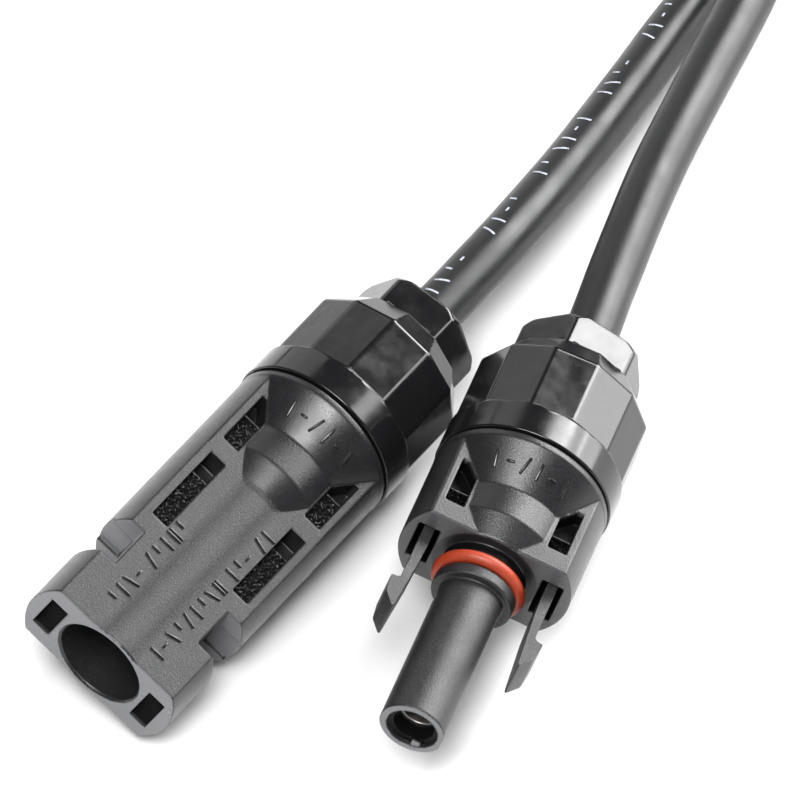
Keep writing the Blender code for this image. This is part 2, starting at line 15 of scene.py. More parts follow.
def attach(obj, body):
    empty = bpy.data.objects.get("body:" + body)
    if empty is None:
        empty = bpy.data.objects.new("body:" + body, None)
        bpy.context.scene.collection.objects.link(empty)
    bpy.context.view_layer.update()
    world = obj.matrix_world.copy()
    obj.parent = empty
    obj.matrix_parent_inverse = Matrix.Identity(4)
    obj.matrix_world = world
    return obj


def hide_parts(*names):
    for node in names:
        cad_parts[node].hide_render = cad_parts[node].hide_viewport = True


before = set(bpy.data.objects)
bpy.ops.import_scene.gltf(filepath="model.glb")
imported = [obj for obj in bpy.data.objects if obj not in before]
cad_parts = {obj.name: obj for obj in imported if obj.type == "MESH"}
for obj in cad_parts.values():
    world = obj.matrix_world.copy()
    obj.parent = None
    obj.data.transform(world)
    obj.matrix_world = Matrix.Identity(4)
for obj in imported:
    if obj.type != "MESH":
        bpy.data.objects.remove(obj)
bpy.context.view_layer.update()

MM = 0.001


def connector_matrix(tip, yaw, roll):
    """Place of a connector from its mating end's centre, its turn about +Z and its roll, in degrees."""
    turn = Matrix.Rotation(math.radians(yaw), 4, "Z")
    turn = turn @ Matrix.Rotation(math.radians(roll), 4, "Y")
    turn = turn @ Matrix.Rotation(math.radians(90.0), 4, "X")
    return Matrix.Translation(Vector(tip)) @ turn


PIN_TIP, SOCKET_TIP = (-13.3, -30.9, 9.45), (18.0, -20.3, 11.45)
PIN = connector_matrix(PIN_TIP, 0.0, 26.5)
SOCKET = connector_matrix(SOCKET_TIP, 16.7, 16.1)
PIN_NUT, SOCKET_NUT = 36.2, 33.0          # s of each end nut's front
PIN_BAND, SOCKET_BAND = 5.15, 5.4         # height of the flat bands above the axis
SHOULDER = 21.6                           # s of the socket housing's shoulder
BOSS_CREST, BOSS_CORE, BOSS_LENGTH = 7.0, 6.6, 8.3
THREAD_DEPTH, THREAD_PITCH = 0.35, 1.5
NUT_LENGTH = 18.5
CABLE_START = 17.6                        # from a nut's front to where the free cable starts, in its mouth

CABLE_RADIUS = 2.8
PIN_RUN = [
    (-13.3, 24.1, 9.45), (-13.5, 37.5, 9.1), (-14.8, 51.0, 7.4), (-16.9, 64.5, 5.4), (-18.8, 77.5, 4.1),
    (-19.3, 89.1, 3.75), (-17.5, 100.0, 3.7), (-12.9, 110.3, 3.7), (-5.3, 124.5, 3.7),
]
SOCKET_RUN = [
    (3.11, 29.31, 11.45), (-1.1, 41.0, 11.4), (-5.3, 53.5, 11.1), (-8.7, 66.0, 10.6), (-11.8, 78.0, 10.1),
    (-15.7, 90.1, 9.95), (-21.0, 100.9, 9.8), (-27.9, 110.4, 9.5), (-36.2, 119.7, 9.4),
]
COIL_CENTRE = (-26.7, 159.1)
COIL_MIDDLE, STRAND_PITCH = 29.4, 5.7
COIL_LOW, COIL_HIGH = 3.7, 9.4
PRINT_SIDE = Vector((-0.22, -0.3, 0.93))


# ---------------------------------------------------------------- camera and light

CAMERA_AZIMUTH, CAMERA_ELEVATION = 36.4, 50.5
VIEW_WIDTH = 81.2                         # across the picture
LENS, SENSOR_WIDTH = 1000.0, 36.0
AIM_RIGHT, AIM_UP, AIM_DEEP = 30.3, 26.5, 21.8    # the picture's middle, from the pin connector's tip
LIGHT_DISTANCE = 0.9                      # metres
WORLD_BRIGHTNESS = 0.05


def camera_axes():
    """Right, up and towards-the-camera directions of the view."""
    a, e = math.radians(CAMERA_AZIMUTH), math.radians(CAMERA_ELEVATION)
    right = Vector((math.cos(a), math.sin(a), 0.0))
    back = Vector((math.sin(a) * math.cos(e), -math.cos(a) * math.cos(e), math.sin(e)))
    return right, back.cross(right), back


def make_camera():
    """Long lens, so that the picture has almost no perspective."""
    right, up, back = camera_axes()
    data = bpy.data.cameras.new("camera")
    data.lens = LENS
    data.sensor_width = SENSOR_WIDTH
    data.clip_end = 20.0
    camera = bpy.data.objects.new("camera", data)
    bpy.context.scene.collection.objects.link(camera)
    target = Vector(PIN_TIP) + right * AIM_RIGHT + up * AIM_UP - back * AIM_DEEP
    distance = VIEW_WIDTH * data.lens / data.sensor_width
    turn = Matrix((right, up, back)).transposed().to_4x4()
    camera.matrix_world = Matrix.Translation((target + back * distance) * MM) @ turn
    bpy.context.scene.camera = camera


def view_direction(azimuth, elevation):
    """Direction from the object, its azimuth counted from the picture's right towards its depth."""
    right, _, _ = camera_axes()
    forward = Vector((-right.y, right.x, 0.0))
    a, e = math.radians(azimuth), math.radians(elevation)
    return (right * math.cos(a) + forward * math.sin(a)) * math.cos(e) + Vector((0.0, 0.0, math.sin(e)))


def soft_box(name, azimuth, elevation, size, power):
    """Square area light of a size in metres and a power in watts, facing the object."""
    data = bpy.data.lights.new(name, "AREA")
    data.energy = power
    data.shape = "RECTANGLE"
    data.size = data.size_y = size
    light = bpy.data.objects.new(name, data)
    bpy.context.scene.collection.objects.link(light)
    aim = view_direction(azimuth, elevation)
    turn = aim.to_track_quat("Z", "Y").to_matrix().to_4x4()
    light.matrix_world = Matrix.Translation(aim * LIGHT_DISTANCE) @ turn


def make_light():
    """Pale surroundings and soft boxes, each with its azimuth, elevation, size and power."""
    world = bpy.data.worlds.new("studio")
    world.use_nodes = True
    background = world.node_tree.nodes["Background"]
    background.inputs["Color"].default_value = (1.0, 1.0, 1.0, 1.0)
    background.inputs["Strength"].default_value = WORLD_BRIGHTNESS
    bpy.context.scene.world = world
    bpy.context.scene.view_settings.view_transform = "Standard"
    boxes = (
        ("front_box", 250.0, 62.0, 0.5, 9.4),
        ("key_box", 262.0, 60.0, 0.2, 2.6),
        ("side_box", 44.0, 36.0, 0.44, 10.0),
        ("right_box", 15.0, 34.0, 0.4, 4.0),
        ("low_box", 20.0, 14.0, 0.36, 3.6),
        ("rear_low_box", 110.0, 14.0, 0.36, 0.5),
        ("rear_box", 105.0, 36.0, 0.36, 0.5),
    )
    for box in boxes:
        soft_box(*box)


# ---------------------------------------------------------------- materials

def new_material(name, color, roughness, metallic=0.0):
    material = bpy.data.materials.new(name)
    material.use_nodes = True
    shader = material.node_tree.nodes["Principled BSDF"]
    shader.inputs["Base Color"].default_value = (*color, 1.0)
    shader.inputs["Roughness"].default_value = roughness
    shader.inputs["Metallic"].default_value = metallic
    shader.inputs["Specular IOR Level"].default_value = 0.5
    material.diffuse_color = (*color, 1.0)
    return material


class Nodes:
    """Short hand for building a material's nodes."""

    def __init__(self, material):
        self.tree = material.node_tree
        self.shader = self.tree.nodes["Principled BSDF"]
        self.place = self.tree.nodes.new("ShaderNodeTexCoord").outputs["Object"]

    def link(self, source, target):
        self.tree.links.new(source, target)

    def drive(self, socket, source):
        """Takes one of the shader's values from a node."""
        self.link(source, self.shader.inputs[socket])

    def noise(self, size, detail=3.0, roughness=0.6, stretch=(1.0, 1.0, 1.0)):
        """Noise whose spots are about size millimetres across."""
        mapping = self.tree.nodes.new("ShaderNodeMapping")
        mapping.inputs["Scale"].default_value = stretch
        self.link(self.place, mapping.inputs["Vector"])
        node = self.tree.nodes.new("ShaderNodeTexNoise")
        node.inputs["Scale"].default_value = 1.0 / (size * MM)
        node.inputs["Detail"].default_value = detail
        node.inputs["Roughness"].default_value = roughness
        self.link(mapping.outputs["Vector"], node.inputs["Vector"])
        return node.outputs["Fac"]

    def scale(self, value, low, high, start=0.3, end=0.7):
        """Value between start and end, spread over low to high."""
        node = self.tree.nodes.new("ShaderNodeMapRange")
        node.inputs["From Min"].default_value = start
        node.inputs["From Max"].default_value = end
        node.inputs["To Min"].default_value = low
        node.inputs["To Max"].default_value = high
        self.link(value, node.inputs["Value"])
        return node.outputs["Result"]

    def blend(self, factor, first, second):
        node = self.tree.nodes.new("ShaderNodeMix")
        node.data_type = "RGBA"
        sockets = [s for s in node.inputs if s.type == "RGBA"]
        for socket, color in zip(sockets, (first, second)):
            if isinstance(color, tuple):
                socket.default_value = (*color, 1.0)
            else:
                self.link(color, socket)
        self.link(factor, node.inputs["Factor"])
        return [s for s in node.outputs if s.type == "RGBA"][0]

    def attribute(self, name):
        node = self.tree.nodes.new("ShaderNodeAttribute")
        node.attribute_name = name
        return node.outputs["Fac"]

    def times(self, first, second):
        node = self.tree.nodes.new("ShaderNodeMath")
        node.operation = "MULTIPLY"
        self.link(first, node.inputs[0])
        self.link(second, node.inputs[1])
        return node.outputs["Value"]

    def mix_number(self, factor, first, second):
        node = self.tree.nodes.new("ShaderNodeMix")
        self.link(factor, node.inputs["Factor"])
        self.link(first, node.inputs["A"])
        self.link(second, node.inputs["B"])
        return node.outputs["Result"]

    def bump(self, height, depth, strength=1.0, under=None):
        """Bump of a depth in millimetres, on top of another bump where one is given."""
        node = self.tree.nodes.new("ShaderNodeBump")
        node.inputs["Strength"].default_value = strength
        node.inputs["Distance"].default_value = depth * MM
        self.link(height, node.inputs["Height"])
        if under is not None:
            self.link(under, node.inputs["Normal"])
        return node.outputs["Normal"]


def grained_plastic(name, color, polished, rough, depth, everywhere=False):
    """Black moulded plastic: polished where it is turned, spark-eroded grain on its bands, with painted light
    on the faces that look forward and painted shade in the hollows, read from a point attribute.
    """
    material = new_material(name, color, rough)
    nodes = Nodes(material)
    speck = nodes.noise(0.2, detail=3.0, roughness=0.7)
    cloud = nodes.noise(2.5, detail=3.0)
    amount, painted_shading = nodes.attribute("grain"), nodes.attribute("painted_shading")
    bright = tuple(c * 2.6 + 0.012 for c in color)
    # Painted light and shade: a much lighter copy of the colour for faces that look forward, a darker copy
    # for the hollows.
    pale = tuple(c * 9.0 + 0.06 for c in color)
    deep = tuple(c * 0.3 for c in color)
    flecks = nodes.scale(speck, 0.0, 1.0, 0.5, 0.72)
    mild = nodes.scale(cloud, polished - 0.03, polished + 0.07)
    strong = nodes.scale(cloud, rough - 0.04, rough + 0.06)
    if not everywhere:
        flecks = nodes.times(flecks, amount)
        strong = nodes.mix_number(amount, mild, strong)
    tint = nodes.blend(flecks, color, bright)
    tint = nodes.blend(nodes.scale(painted_shading, 0.0, 1.0, 0.0, 1.0), tint, pale)
    tint = nodes.blend(nodes.scale(painted_shading, 1.0, 0.0, -1.0, 0.0), tint, deep)
    nodes.drive("Base Color", tint)
    nodes.drive("Roughness", strong)
    # Painted shade: the hollows also get a lower specular level, so they reflect less.
    gloss = nodes.scale(painted_shading, 0.08, 0.5, -1.0, 0.0)
    nodes.drive("Specular IOR Level", gloss)
    height = speck if everywhere else nodes.times(speck, nodes.scale(amount, 0.2, 1.0, 0.0, 1.0))
    nodes.drive("Normal", nodes.bump(height, depth))
    return material


def glossy_plastic(name, color, roughness):
    """Polished black plastic: faint waviness, rub marks and dust."""
    material = new_material(name, color, roughness)
    nodes = Nodes(material)
    cloud = nodes.noise(3.0, detail=4.0)
    rub = nodes.noise(0.25, detail=2.0, stretch=(1.0, 0.12, 1.0))
    dust = nodes.noise(0.12, detail=1.0)
    lighter = tuple(c * 1.5 + 0.004 for c in color)
    nodes.drive("Base Color", nodes.blend(nodes.scale(dust, 0.0, 1.0, 0.68, 0.8), color, lighter))
    nodes.drive("Roughness", nodes.scale(cloud, roughness - 0.05, roughness + 0.08))
    wave = nodes.bump(nodes.noise(2.2, detail=1.0), 0.012)
    nodes.drive("Normal", nodes.bump(rub, 0.0015, under=wave))
    return material


def rubber(name, color, roughness):
    """Matt rubber or soft plastic, faintly clouded and grained."""
    material = new_material(name, color, roughness)
    nodes = Nodes(material)
    cloud = nodes.noise(1.4, detail=4.0)
    darker = tuple(c * 0.8 for c in color)
    nodes.drive("Base Color", nodes.blend(nodes.scale(cloud, 0.0, 1.0), darker, color))
    nodes.drive("Roughness", nodes.scale(cloud, roughness - 0.08, roughness + 0.08))
    nodes.drive("Normal", nodes.bump(nodes.noise(0.1, detail=3.0), 0.006))
    return material


def cable_skin(name, color, roughness):
    """Drawn cable sheath: satin, with faint scuffs and die marks."""
    material = new_material(name, color, roughness)
    nodes = Nodes(material)
    cloud = nodes.noise(4.0, detail=5.0)
    scuff = nodes.noise(0.5, detail=5.0, roughness=0.75)
    lighter = tuple(c * 2.2 + 0.02 for c in color)
    nodes.drive("Base Color", nodes.blend(nodes.scale(scuff, 0.0, 1.0, 0.6, 0.85), color, lighter))
    nodes.drive("Roughness", nodes.scale(cloud, roughness - 0.07, roughness + 0.07))
    wave = nodes.bump(nodes.noise(0.9, detail=2.0), 0.01)
    nodes.drive("Normal", nodes.bump(nodes.noise(0.12, detail=3.0), 0.004, under=wave))
    return material


def metal(name, color, roughness):
    """Plated metal with fine turning marks and slight tarnish."""
    material = new_material(name, color, roughness, metallic=1.0)
    nodes = Nodes(material)
    tarnish = nodes.noise(0.8, detail=4.0)
    darker = tuple(c * 0.78 for c in color)
    nodes.drive("Base Color", nodes.blend(nodes.scale(tarnish, 0.0, 1.0), darker, color))
    nodes.drive("Roughness", nodes.scale(tarnish, roughness - 0.06, roughness + 0.1))
    marks = nodes.noise(0.06, detail=2.0, stretch=(1.0, 0.1, 1.0))
    nodes.drive("Normal", nodes.bump(marks, 0.002))
    return material


def ink(name, color):
    """Worn white ink."""
    material = new_material(name, color, 0.55)
    nodes = Nodes(material)
    wear = nodes.noise(0.25, detail=4.0, roughness=0.8)
    faded = tuple(c * 0.45 for c in color)
    nodes.drive("Base Color", nodes.blend(nodes.scale(wear, 0.0, 1.0, 0.4, 0.56), faded, color))
    return material


# ---------------------------------------------------------------- shapes from distance fields

def both(a, b, radius):
    """Where both solids are, with the convex edge between them rounded."""
    out = np.hypot(np.maximum(a + radius, 0.0), np.maximum(b + radius, 0.0))
    return np.minimum(-radius, np.maximum(a, b)) + out


def either(a, b, radius):
    """The two solids joined, with a fillet between them."""
    out = np.hypot(np.maximum(radius - a, 0.0), np.maximum(radius - b, 0.0))
    return np.maximum(radius, np.minimum(a, b)) - out


def without(a, b, radius):
    """The first solid with the second taken out, and the rim rounded."""
    return both(a, -b, radius)


def between(value, low, high):
    return np.maximum(low - value, value - high)


def block(x, y, s, low, high, radius):
    """Box with rounded edges."""
    side = both(between(x, low[0], high[0]), between(y, low[1], high[1]), radius)
    return both(side, between(s, low[2], high[2]), radius)


def lathe(rho, s, outline, soft=0.15):
    """Inside of a turned outline of (radius, s) points, its corners softened."""
    fine, beyond = 0.02, 3.0
    reach = np.arange(outline[0][1] - beyond, outline[-1][1] + beyond, fine)
    radii = np.interp(reach, [p[1] for p in outline], [p[0] for p in outline])
    width = max(1, int(soft / fine))
    kernel = np.hanning(2 * width + 3)[1:-1]
    padded = np.pad(radii, width, mode="edge")
    radii = np.convolve(padded, kernel / kernel.sum(), mode="valid")
    slope = np.gradient(radii, fine)
    return (rho - np.interp(s, reach, radii)) / np.sqrt(1.0 + np.interp(s, reach, slope) ** 2)


def slope_of(field, points, reach=0.02):
    """Value and unit slope of the field at some points."""
    x, y, z = points.T
    value = field(x, y, z)
    slope = np.stack([
        field(x + reach, y, z) - field(x - reach, y, z),
        field(x, y + reach, z) - field(x, y - reach, z),
        field(x, y, z + reach) - field(x, y, z - reach),
    ], axis=1) / (2.0 * reach)
    length = np.maximum(np.linalg.norm(slope, axis=1, keepdims=True), 1e-6)
    return value, slope / length, length[:, 0]


def crossings_of(values, number):
    """Grid edges that cross the surface: their points, in steps, and the four cells round each."""
    inside = values < 0.0
    points, quads = [], []
    for axis in range(3):
        one, two = [d for d in range(3) if d != axis]
        if axis == 1:
            one, two = two, one
        core = [slice(1, -1)] * 3
        core[axis] = slice(0, -1)
        ahead = list(core)
        ahead[axis] = slice(1, None)
        here, there = inside[tuple(core)], inside[tuple(ahead)]
        for leaving in (True, False):
            found = np.nonzero((here & ~there) if leaving else (~here & there))
            index = np.stack(found, axis=1)
            index[:, one] += 1
            index[:, two] += 1
            after = index.copy()
            after[:, axis] += 1
            low, high = values[tuple(index.T)], values[tuple(after.T)]
            point = index.astype(float)
            point[:, axis] += low / (low - high)
            points.append(point)
            ring = []
            for back_one, back_two in ((0, 0), (1, 0), (1, 1), (0, 1)):
                cell = index.copy()
                cell[:, one] -= back_one
                cell[:, two] -= back_two
                ring.append(number[tuple(cell.T)])
            quads.append(np.stack(ring if leaving else ring[::-1], axis=1))
    return np.concatenate(points), np.concatenate(quads)


FINE_STEP, QUICK_STEP = 0.16, 0.3         # cell of the moulded bodies' meshes
CORRECTION = 0.2                          # most that a crossing is corrected, in steps
MOST_MOVE = 0.5                           # most that a point leaves its crossings' middle, in steps
HOLD = 0.06                               # pull towards that middle, which decides where it is flat


def surface_net(field, low, high, step):
    """Points and quads of the field's zero surface, one point in each cell that it crosses.

    Each point is the one nearest to the flat pieces of surface round its cell, so edges stay straight.
    """
    axes = [np.arange(a, b + step, step) for a, b in zip(low, high)]
    grid = np.meshgrid(*axes, indexing="ij", sparse=True)
    values = np.asarray(field(*grid), dtype=np.float32)
    shape = tuple(n - 1 for n in values.shape)
    count = np.zeros(shape, dtype=np.int8)
    for corner in ((i, j, k) for i in (0, 1) for j in (0, 1) for k in (0, 1)):
        count += (values < 0.0)[tuple(slice(c, c + n) for c, n in zip(corner, shape))]
    cells = np.nonzero((count > 0) & (count < 8))
    number = np.full(shape, -1, dtype=np.int64)
    number[cells] = np.arange(len(cells[0]))
    spots, quads = crossings_of(values, number)
    spots = spots * step + np.array([a[0] for a in axes])
    value, normal, length = slope_of(field, spots)
    spots -= normal * np.clip(value / length, -CORRECTION * step, CORRECTION * step)[:, None]
    _, normal, _ = slope_of(field, spots)
    cell = quads.ravel()

    def total(weights):
        return np.bincount(cell, np.repeat(weights, 4), minlength=len(cells[0]))

    share = total(np.ones(len(spots)))
    middle = np.stack([total(spots[:, i]) for i in range(3)], axis=1) / share[:, None]
    matrix = np.empty((len(share), 3, 3))
    pull = np.empty((len(share), 3))
    offset = np.sum(normal * spots, axis=1)
    for i in range(3):
        for j in range(3):
            matrix[:, i, j] = total(normal[:, i] * normal[:, j])
        pull[:, i] = total(normal[:, i] * offset) - np.einsum("nj,nj->n", matrix[:, i], middle)
    matrix += np.eye(3) * HOLD
    move = np.linalg.solve(matrix, pull[:, :, None])[:, :, 0]
    return middle + np.clip(move, -MOST_MOVE * step, MOST_MOVE * step), quads


def solid_from_field(name, field, low, high, step, matrix, material, grain_and_painted_shading=None):
    """Fine mesh of a field's solid, with its normals taken from the field."""
    points, quads = surface_net(field, low, high, step)
    _, normal, _ = slope_of(field, points)
    still = np.zeros(len(points))
    # Grain, and painted light and shade, for each point.
    grain, painted_shading = grain_and_painted_shading(points, normal) if grain_and_painted_shading else (still, still)
    turn = np.array(matrix.to_3x3())
    points = (points @ turn.T + np.array(matrix.translation)) * MM
    normal = normal @ turn.T
    mesh = bpy.data.meshes.new(name)
    mesh.vertices.add(len(points))
    mesh.vertices.foreach_set("co", points.astype(np.float32).ravel())
    mesh.loops.add(quads.size)
    mesh.loops.foreach_set("vertex_index", quads.astype(np.int32).ravel())
    mesh.polygons.add(len(quads))
    mesh.polygons.foreach_set("loop_start", np.arange(0, quads.size, 4, dtype=np.int32))
    mesh.update(calc_edges=True)
    for label, values in (("grain", grain), ("painted_shading", painted_shading)):
        attribute = mesh.attributes.new(label, "FLOAT", "POINT")
        attribute.data.foreach_set("value", values.astype(np.float32))
    mesh.polygons.foreach_set("use_smooth", np.ones(len(mesh.polygons), dtype=bool))
    mesh.normals_split_custom_set_from_vertices(normal.tolist())
    obj = bpy.data.objects.new(name, mesh)
    bpy.context.scene.collection.objects.link(obj)
    mesh.materials.append(material)
    return obj


def thread(rho, x, y, s, crest):
    """Screw thread round the axis, as the distance to its ridged surface."""
    turns = np.arctan2(y, x) / (2.0 * math.pi)
    wave = np.abs(((s / THREAD_PITCH + turns) % 1.0) - 0.5) * 2.0
    ridge = np.clip(wave * 1.6 - 0.3, 0.0, 1.0)
    return (rho - (crest - THREAD_DEPTH * ridge)) * 0.8


def threaded_boss(rho, x, y, s, start, nut):
    """Boss that an end nut screws on to."""
    length = between(s, start, nut + BOSS_LENGTH)
    return np.minimum(both(thread(rho, x, y, s, BOSS_CREST), length, 0.2), both(rho - BOSS_CORE, length, 0.2))


def relief(x, s):
    """Uneven heights from 0 to 1, like small worn moulded marks on a pocket's floor."""
    size = 0.85
    first = np.sin(x * 5.1 / size + 1.3 * np.sin(s * 3.7 / size))
    second = np.sin(s * 6.3 / size + 1.7 * np.sin(x * 4.1 / size + s * 1.1))
    return np.clip(0.5 + 0.9 * first * second, 0.0, 1.0)


def band_pocket(x, y, s, outline, surface, rough_end, floor):
    """Pocket in both bands on both sides: a rough part and, behind a thin rib, a smooth deep part.

    The outline is its low and high edge across, its start and end along, and the two ends of the cut
    across its corner, or None.
    """
    across, up = np.abs(x), np.abs(y)
    low, high, start, end, corner = outline
    mouth = both(between(across, low, high), between(s, start, end), 0.15)
    if corner is not None:
        (corner_x, corner_s), (end_x, end_s) = corner
        run_x, run_s = end_x - corner_x, end_s - corner_s
        length = math.hypot(run_x, run_s)
        cut = (-run_s * (across - corner_x) + run_x * (s - corner_s)) / length
        mouth = both(mouth, cut, 0.1)
    deep = both(both(mouth, rough_end + 0.12 - s, 0.08), floor - up, 0.1)
    bottom = surface - 1.3 + 0.75 * relief(x, s)
    rough = both(both(mouth, s - rough_end, 0.08), (bottom - up) * 0.6, 0.06)
    rib = both(mouth, surface - 0.45 - up, 0.05)
    return np.minimum(np.minimum(deep, rough), rib)


def pin_housing_field(x, y, z):
    """Pin housing: head, barred shaft, crest, cone and boss, less bore, slots, windows and pockets."""
    s = -z
    rho = np.hypot(x, y)
    across = np.abs(x)
    head = both(rho - 9.35, between(s, -2.0, 6.95), 0.2)
    shaft = both(rho - 9.2, between(s, 3.0, 35.5), 0.2)
    bar = both(either(head, shaft, 0.05), np.abs(y) - PIN_BAND, 0.14)
    crest = both(rho - 5.62, s - 26.0, 0.12)
    solid = both(either(bar, crest, 0.22), -s, 0.14)
    cone = [(5.0, 22.0), (5.62, 24.0), (6.8, 27.1), (6.8, 30.7), (9.25, 35.2), (9.25, 40.0)]
    core = both(lathe(rho, s, cone, 0.3), between(s, 21.0, 35.9), 0.15)
    solid = either(solid, core, 0.1)
    solid = either(solid, threaded_boss(rho, x, y, s, 34.0, PIN_NUT), 0.1)
    bore = lathe(rho, s, [(5.13, -3.0), (5.13, 0.0), (4.875, 0.26), (4.875, 40.0)], 0.03)
    solid = without(solid, both(bore, s - 19.5, 0.3), 0.05)
    rear = [(2.75, 16.0), (2.75, 21.4), (3.7, 21.6), (3.7, 30.5), (5.6, 34.2), (5.6, 60.0)]
    solid = without(solid, both(lathe(rho, s, rear, 0.1), 18.0 - s, 0.1), 0.15)
    slot = block(across, y, s, (5.7, -2.9, -3.0), (7.8, 2.9, 8.0), 0.1)
    solid = without(solid, slot, 0.07)
    window = block(across, y, s, (5.8, -12.0, 6.75), (15.0, 12.0, 11.7), 0.15)
    catch = block(across, y, s, (6.0, -2.4, 8.0), (15.0, 2.4, 12.15), 0.12)
    solid = without(solid, np.minimum(window, catch), 0.12)
    long_pocket = band_pocket(x, y, s, (4.6, 6.6, 14.0, 23.9, None), PIN_BAND, 20.9, 2.0)
    solid = without(solid, long_pocket, 0.09)
    corner = ((4.7, 30.7), (6.2, 32.8))
    rear_pocket = band_pocket(x, y, s, (4.7, 6.7, 26.1, 32.8, corner), PIN_BAND, 29.9, 2.3)
    return without(solid, rear_pocket, 0.09)


def pin_grain_and_painted_shading(points, normal):
    """Grain and painted shading of the pin housing: grain on its bands and crest, painted light making the
    forward-facing ends lighter, painted shade darkening the hollows and pockets.
    """
    x, y, z = points.T
    s, up, rho = -z, np.abs(y), np.hypot(x, y)
    facing = np.abs(normal[:, 1])
    ahead = (s < 24.3) & (s > 0.2)
    band = (facing > 0.985) & (np.abs(up - PIN_BAND) < 0.12)
    grain = np.where(band | ahead & (facing > 0.75) & (up > 4.9), 1.0, np.where(ahead, 0.45, 0.35))
    # Painted light: the faces that look forward, the head face and the windows' back walls, are lightened as
    # if lit from the front.
    end = (normal[:, 2] > 0.9) & ((s < 0.4) | (s > 11.0) & (s < 13.0) & (np.abs(x) > 5.8))
    # Painted shade: the band pockets are darkened a little.
    pocket = (up < 5.0) & (np.abs(x) > 4.5) & (np.abs(x) < 6.75) & (s > 13.0) & (s < 33.5) & (rho > 4.8)
    # Painted shade: the bore and the slots are darkened and made to reflect less.
    hollow = (rho < 4.8) | (s > 0.3) & (s < 6.8) & (np.abs(x) > 5.5) & (np.abs(x) < 7.9) & (up < 3.0)
    return np.where(hollow | pocket, 0.6, grain), np.where(hollow, -1.0, np.where(pocket, -0.3, end))


def socket_grain_and_painted_shading(points, normal):
    """Grain and painted shading of the socket housing: fine grain on the nose, painted light making the
    forward-facing ends lighter, painted shade darkening the hollows.
    """
    x, y, z = points.T
    s, up, rho = -z, np.abs(y), np.hypot(x, y)
    grain = np.where(s < 18.8, 0.8, np.where(s < 24.4, 0.45, 0.4))
    # Painted light: the nose's front face and the shoulder, which look forward, are lightened as if lit from
    # the front.
    end = np.where(s < 1.0, 0.8, 0.3) * ((normal[:, 2] > 0.9) & ((s < 0.6) | (s > 21.0) & (rho > 5.6)))
    # Painted shade: the mouth, the seal groove and the pockets are darkened and made to reflect less.
    hollow = (rho < 2.9) & (s > 0.4) | (s > 18.9) & (s < 21.5) & (rho < 4.6)
    hollow |= (up < 4.9) & (np.abs(x) > 4.5) & (np.abs(x) < 7.9) & (s > 21.8) & (s < 30.0) & (rho < 9.0)
    return np.where(hollow, 0.6, grain), np.where(hollow, -1.0, end)


def socket_housing_field(x, y, z):
    """Socket housing: nose, collar, seal land, barred body, cone and boss, less mouth and pockets."""
    s = -z
    rho = np.hypot(x, y)
    across = np.abs(x)
    nose = both(rho - 3.48, between(s, 0.0, 23.0), 0.14)
    nose = both(nose, x - 3.22, 0.12)
    collar = both(rho - 4.35, between(s, 17.6, 18.95), 0.25)
    land = both(rho - 4.45, between(s, 20.5, 23.0), 0.12)
    front = either(nose, np.minimum(collar, land), 0.12)
    bar = both(rho - 9.25, s - 32.3, 0.15)
    bar = both(bar, np.abs(y) - SOCKET_BAND, 0.12)
    cone = [(5.6, SHOULDER - 1.0), (5.7, SHOULDER), (6.8, 24.3), (6.9, 27.6), (9.3, 32.0), (9.3, 36.0)]
    core = both(lathe(rho, s, cone, 0.16), s - 32.7, 0.12)
    solid = both(either(bar, core, 0.08), SHOULDER - s, 0.15)
    solid = either(front, solid, 0.12)
    solid = either(solid, threaded_boss(rho, x, y, s, 31.0, SOCKET_NUT), 0.1)
    mouth = [
        (2.72, -3.0), (2.72, 0.48), (2.15, 0.56), (2.15, 2.35), (2.98, 2.4), (2.98, 22.8),
        (3.7, 22.9), (3.7, 29.2), (5.6, 32.0), (5.6, 60.0),
    ]
    solid = without(solid, lathe(rho, s, mouth, 0.05), 0.06)
    tab = block(x, y, s, (0.5, -2.75, 0.1), (1.5, -1.8, 0.8), 0.1)
    solid = np.minimum(solid, tab)
    pocket = block(across, y, s, (5.7, -2.95, 18.0), (8.0, 2.95, 26.6), 0.15)
    solid = without(solid, pocket, 0.1)
    corner = ((4.65, 27.7), (6.1, 29.3))
    band = band_pocket(x, y, s, (4.65, 6.7, 23.9, 29.3, corner), SOCKET_BAND, 25.6, 3.35)
    return without(solid, band, 0.1)


